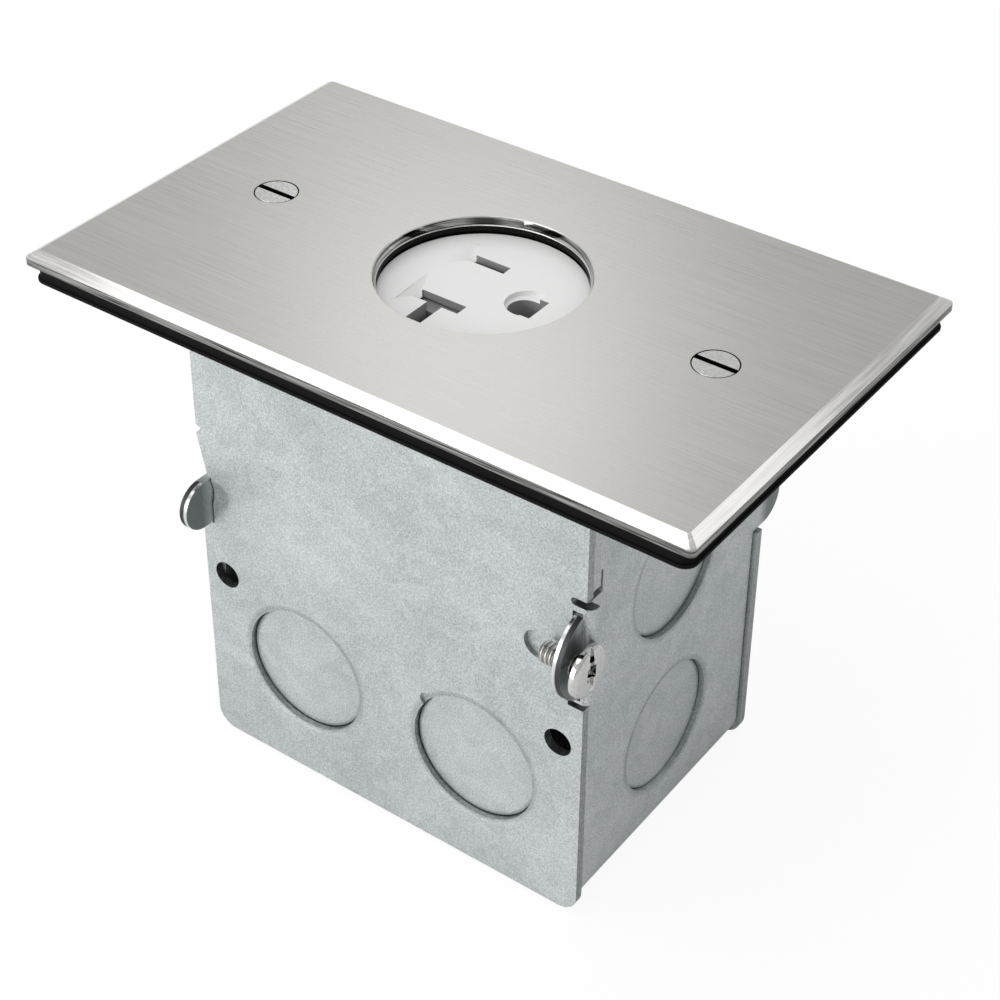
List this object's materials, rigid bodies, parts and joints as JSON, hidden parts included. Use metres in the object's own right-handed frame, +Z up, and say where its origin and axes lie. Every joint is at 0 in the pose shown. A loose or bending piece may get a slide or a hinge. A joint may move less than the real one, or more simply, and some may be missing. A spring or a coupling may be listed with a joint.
{
  "type": "floor socket box",
  "caption": "Rectangular bevelled metal floor cover with a round single socket, rubber gasket and sheet-steel box with knockouts and clamped side panels.",
  "frame": {"origin": "centre of the underside of the box", "axes": "+Z up towards the cover, +X along the cover's long side, +Y towards the rear side panel"},
  "size_m": [0.1226, 0.075, 0.0944],
  "materials": {
    "satin_cover": "satin brushed, polished bevel",
    "black_rubber": "matt",
    "bright_screw": "bright plated",
    "white_moulding": "satin moulded",
    "grey_moulding": "matt moulded",
    "zinc_steel": "zinc plated",
    "contact_brass": "bright",
    "green_screw": "green dyed plating",
    "galvanised_steel": "galvanised"
  },
  "bodies": {
    "box": {"box_body": "galvanised_steel", "front_side_panel": "galvanised_steel", "rear_side_panel": "galvanised_steel", "front_knockouts": "galvanised_steel", "rear_knockouts": "galvanised_steel", "end_knockouts": "galvanised_steel", "bottom_knockouts": "galvanised_steel", "cover_plate": "satin_cover", "cover_gasket": "black_rubber", "receptacle_face": "white_moulding", "receptacle_base": "grey_moulding", "mounting_strap": "zinc_steel", "line_contact": "contact_brass", "neutral_contact": "contact_brass", "ground_contact": "contact_brass", "line_clamp_plate": "contact_brass", "neutral_clamp_plate": "bright_screw", "receptacle_screws": "bright_screw"},
    "shutter": {"shutter": "white_moulding"},
    "left_cover_screw": {"cover_screw_left": "bright_screw"},
    "right_cover_screw": {"cover_screw_right": "bright_screw"},
    "front_panel_screw": {"front_clamp_screw": "bright_screw"},
    "rear_panel_screw": {"rear_clamp_screw": "bright_screw"},
    "line_screw": {"line_terminal_screw": "contact_brass"},
    "neutral_screw": {"neutral_terminal_screw": "bright_screw"},
    "device_earth_screw": {"earth_terminal_screw": "green_screw"},
    "bottom_earth_screw": {"box_earth_screw": "green_screw"}
  },
  "joints": [
    {"name": "shutter_slide", "type": "slide", "parent": "box", "child": "shutter", "axis": [0, 1, 0], "range_m": [0, 0.0026]},
    {"name": "left_cover_screw_turn", "type": "hinge", "parent": "box", "child": "left_cover_screw", "pos_m": [-0.04167, 0, 0.09], "axis": [0, 0, 1], "continuous": true},
    {"name": "right_cover_screw_turn", "type": "hinge", "parent": "box", "child": "right_cover_screw", "pos_m": [0.04167, 0, 0.09], "axis": [0, 0, 1], "continuous": true},
    {"name": "front_panel_screw_turn", "type": "hinge", "parent": "box", "child": "front_panel_screw", "pos_m": [0.036, -0.028, 0.0544], "axis": [1, 0, 0], "continuous": true},
    {"name": "rear_panel_screw_turn", "type": "hinge", "parent": "box", "child": "rear_panel_screw", "pos_m": [-0.036, 0.028, 0.0544], "axis": [-1, 0, 0], "continuous": true},
    {"name": "line_screw_turn", "type": "hinge", "parent": "box", "child": "line_screw", "pos_m": [-0.0034, 0.016, 0.0713], "axis": [0, 1, 0], "continuous": true},
    {"name": "neutral_screw_turn", "type": "hinge", "parent": "box", "child": "neutral_screw", "pos_m": [-0.0034, -0.016, 0.0713], "axis": [0, -1, 0], "continuous": true},
    {"name": "device_earth_screw_turn", "type": "hinge", "parent": "box", "child": "device_earth_screw", "pos_m": [-0.0168, 0.017, 0.0774], "axis": [0, 1, 0], "continuous": true},
    {"name": "bottom_earth_screw_turn", "type": "hinge", "parent": "box", "child": "bottom_earth_screw", "pos_m": [-0.002, 0.0175, 0.003], "axis": [0, 0, 1], "continuous": true}
  ]
}
